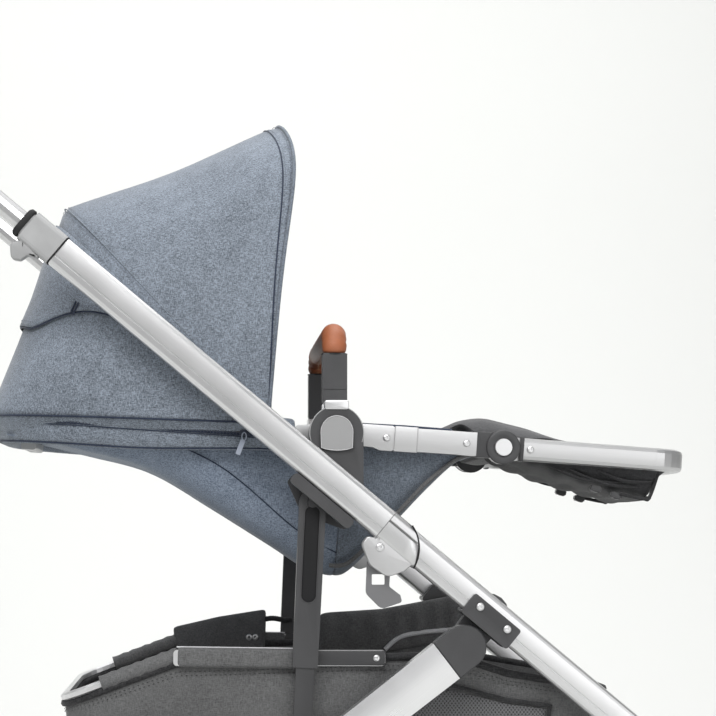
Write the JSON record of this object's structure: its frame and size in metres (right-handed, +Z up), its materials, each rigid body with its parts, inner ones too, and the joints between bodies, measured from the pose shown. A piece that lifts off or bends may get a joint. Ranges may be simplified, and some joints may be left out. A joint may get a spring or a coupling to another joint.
{
  "type": "pushchair",
  "caption": "Folding pushchair with a reclining cloth seat, arched canopy, telescoping handlebar, storage basket and swivelling front wheels.",
  "frame": {"origin": "centre of the footprint on the ground", "axes": "+X forward, +Y to the left, +Z up"},
  "size_m": [1.0288, 0.576, 1.0062],
  "materials": {
    "blue_fabric": "melange weave",
    "cast_silver": "matt cast",
    "charcoal_fabric": "plain weave",
    "dark_plastic": "fine grain",
    "grey_plastic": "fine grain",
    "leather": "smooth grain",
    "pad_fabric": "knitted",
    "silver": "satin anodised",
    "tyre": "matt"
  },
  "bodies": {
    "chassis": {"basket": "charcoal_fabric", "basket_rail": "silver", "front_cross_bar": "dark_plastic", "front_leg_left": "silver", "front_leg_right": "silver", "leg_bracket_left": "dark_plastic", "leg_bracket_right": "dark_plastic", "swivel_socket_left": "dark_plastic", "swivel_socket_right": "dark_plastic"},
    "brake_pedal": {"brake_pedal": "grey_plastic"},
    "bumper_bar": {"bumper_arm_left": "dark_plastic", "bumper_arm_right": "dark_plastic", "bumper_grip": "leather"},
    "seat": {"canopy_fabric": "blue_fabric", "canopy_rear_bow": "silver", "harness_buckle": "dark_plastic", "seat_back_frame": "blue_fabric", "seat_pad": "pad_fabric", "seat_rail_left": "silver", "seat_rail_right": "silver", "seat_shell": "blue_fabric"},
    "canopy": {"canopy_front_bow": "silver"},
    "upper_frame": {"fold_casting_left": "cast_silver", "fold_casting_right": "cast_silver", "seat_bracket_left": "dark_plastic", "seat_bracket_right": "dark_plastic", "seat_mount_left": "dark_plastic", "seat_mount_right": "dark_plastic", "side_tube_left": "silver", "side_tube_right": "silver"},
    "latch": {"fold_latch": "grey_plastic"},
    "fold_trigger_left": {"fold_trigger_left": "grey_plastic"},
    "fold_trigger_right": {"fold_trigger_right": "grey_plastic"},
    "front_fork_left": {"front_fork_left": "dark_plastic"},
    "front_fork_right": {"front_fork_right": "dark_plastic"},
    "front_wheel_left": {"front_left_rim": "grey_plastic", "front_left_tyre": "tyre"},
    "front_wheel_right": {"front_right_rim": "grey_plastic", "front_right_tyre": "tyre"},
    "handle_button": {"handle_release_button": "grey_plastic"},
    "handlebar": {"handlebar_grip": "leather", "handlebar_tube": "silver"},
    "legrest_button_left": {"legrest_button_left": "silver"},
    "legrest_button_right": {"legrest_button_right": "silver"},
    "legrest": {"legrest_frame": "silver", "legrest_panel": "charcoal_fabric"},
    "post_left": {"post_left": "dark_plastic"},
    "post_right": {"post_right": "dark_plastic"},
    "rear_frame": {"rear_axle_bar": "dark_plastic", "rear_leg_cap_left": "dark_plastic", "rear_leg_cap_right": "dark_plastic", "rear_leg_left": "silver", "rear_leg_right": "silver"},
    "rear_wheel_left": {"rear_left_rim": "grey_plastic", "rear_left_tyre": "tyre"},
    "rear_wheel_right": {"rear_right_rim": "grey_plastic", "rear_right_tyre": "tyre"},
    "recline_lever": {"recline_lever": "grey_plastic"},
    "seat_release_button_left": {"seat_release_button_left": "silver"},
    "seat_release_button_right": {"seat_release_button_right": "silver"}
  },
  "joints": [
    {"name": "frame_fold", "type": "hinge", "parent": "chassis", "child": "upper_frame", "pos_m": [0.0547, 0, 0.4888], "axis": [0, 1, 0], "range_deg": [0, 45], "deforming": ["basket"]},
    {"name": "rear_leg_fold", "type": "hinge", "parent": "chassis", "child": "rear_frame", "pos_m": [0.1513, 0, 0.376], "axis": [0, 1, 0], "range_deg": [0, 12]},
    {"name": "post_right_turn", "type": "hinge", "parent": "upper_frame", "child": "post_right", "pos_m": [-0.0209, 0, 0.54], "axis": [0, 1, 0], "range_deg": [-29, 0]},
    {"name": "post_left_turn", "type": "hinge", "parent": "upper_frame", "child": "post_left", "pos_m": [-0.0209, 0, 0.54], "axis": [0, 1, 0], "range_deg": [-29, 0]},
    {"name": "handle_extend", "type": "slide", "parent": "upper_frame", "child": "handlebar", "axis": [-0.7694, 0, 0.6388], "range_m": [0, 0.1]},
    {"name": "handle_button_press", "type": "slide", "parent": "handlebar", "child": "handle_button", "axis": [-0.7694, 0, 0.6388], "range_m": [0, 0.0025], "stiffness_N_per_m": 600},
    {"name": "fold_trigger_right_pull", "type": "slide", "parent": "upper_frame", "child": "fold_trigger_right", "axis": [-0.7694, 0, 0.6388], "range_m": [0, 0.012], "stiffness_N_per_m": 400},
    {"name": "fold_trigger_left_pull", "type": "slide", "parent": "upper_frame", "child": "fold_trigger_left", "axis": [-0.7694, 0, 0.6388], "range_m": [0, 0.012], "stiffness_N_per_m": 400},
    {"name": "fold_latch_turn", "type": "hinge", "parent": "upper_frame", "child": "latch", "pos_m": [0.0556, 0, 0.47], "axis": [0, 1, 0], "range_deg": [-5, 25], "stiffness_Nm_per_rad": 0.4},
    {"name": "brake_press", "type": "hinge", "parent": "rear_frame", "child": "brake_pedal", "pos_m": [-0.1874, 0, 0.112], "axis": [0, 1, 0], "range_deg": [-18, 0], "stiffness_Nm_per_rad": 3},
    {"name": "seat_recline", "type": "hinge", "parent": "upper_frame", "child": "seat", "pos_m": [0.0064, 0, 0.6205], "axis": [0, 1, 0], "range_deg": [0, 46]},
    {"name": "legrest_adjust", "type": "hinge", "parent": "seat", "child": "legrest", "pos_m": [0.2058, 0, 0.6058], "axis": [0, 1, 0], "range_deg": [0, 62]},
    {"name": "recline_lever_squeeze", "type": "slide", "parent": "seat", "child": "recline_lever", "axis": [-0.9979, 0, 0.0645], "range_m": [0, 0.006], "stiffness_N_per_m": 500},
    {"name": "bumper_swing", "type": "hinge", "parent": "seat", "child": "bumper_bar", "pos_m": [0.0064, 0.169, 0.656], "axis": [0, 0, 1], "range_deg": [0, 75]},
    {"name": "canopy_fold", "type": "hinge", "parent": "seat", "child": "canopy", "pos_m": [-0.0718, 0, 0.633], "axis": [0, 1, 0], "range_deg": [-33, 0], "deforming": ["canopy_fabric"]},
    {"name": "seat_release_right_press", "type": "slide", "parent": "upper_frame", "child": "seat_release_button_right", "axis": [0, 1, 0], "range_m": [0, 0.003], "stiffness_N_per_m": 800},
    {"name": "legrest_button_right_press", "type": "slide", "parent": "seat", "child": "legrest_button_right", "axis": [0, 1, 0], "range_m": [0, 0.0025], "stiffness_N_per_m": 800},
    {"name": "front_swivel_right", "type": "hinge", "parent": "chassis", "child": "front_fork_right", "pos_m": [0.4486, -0.23, 0.198], "axis": [0, 0, 1], "continuous": true},
    {"name": "front_wheel_right_spin", "type": "hinge", "parent": "front_fork_right", "child": "front_wheel_right", "pos_m": [0.4246, -0.23, 0.09], "axis": [0, 1, 0], "continuous": true},
    {"name": "rear_wheel_right_spin", "type": "hinge", "parent": "rear_frame", "child": "rear_wheel_right", "pos_m": [-0.1649, -0.267, 0.1335], "axis": [0, 1, 0], "continuous": true},
    {"name": "seat_release_left_press", "type": "slide", "parent": "upper_frame", "child": "seat_release_button_left", "axis": [0, -1, 0], "range_m": [0, 0.003], "stiffness_N_per_m": 800},
    {"name": "legrest_button_left_press", "type": "slide", "parent": "seat", "child": "legrest_button_left", "axis": [0, -1, 0], "range_m": [0, 0.0025], "stiffness_N_per_m": 800},
    {"name": "front_swivel_left", "type": "hinge", "parent": "chassis", "child": "front_fork_left", "pos_m": [0.4486, 0.23, 0.198], "axis": [0, 0, 1], "continuous": true},
    {"name": "front_wheel_left_spin", "type": "hinge", "parent": "front_fork_left", "child": "front_wheel_left", "pos_m": [0.4246, 0.23, 0.09], "axis": [0, 1, 0], "continuous": true},
    {"name": "rear_wheel_left_spin", "type": "hinge", "parent": "rear_frame", "child": "rear_wheel_left", "pos_m": [-0.1649, 0.267, 0.1335], "axis": [0, 1, 0], "continuous": true}
  ],
  "couplings": [
    {"joint": "rear_leg_fold", "follows": "frame_fold", "ratio": 0.26},
    {"joint": "post_right_turn", "follows": "frame_fold", "ratio": -0.63},
    {"joint": "post_left_turn", "follows": "frame_fold", "ratio": -0.63}
  ]
}
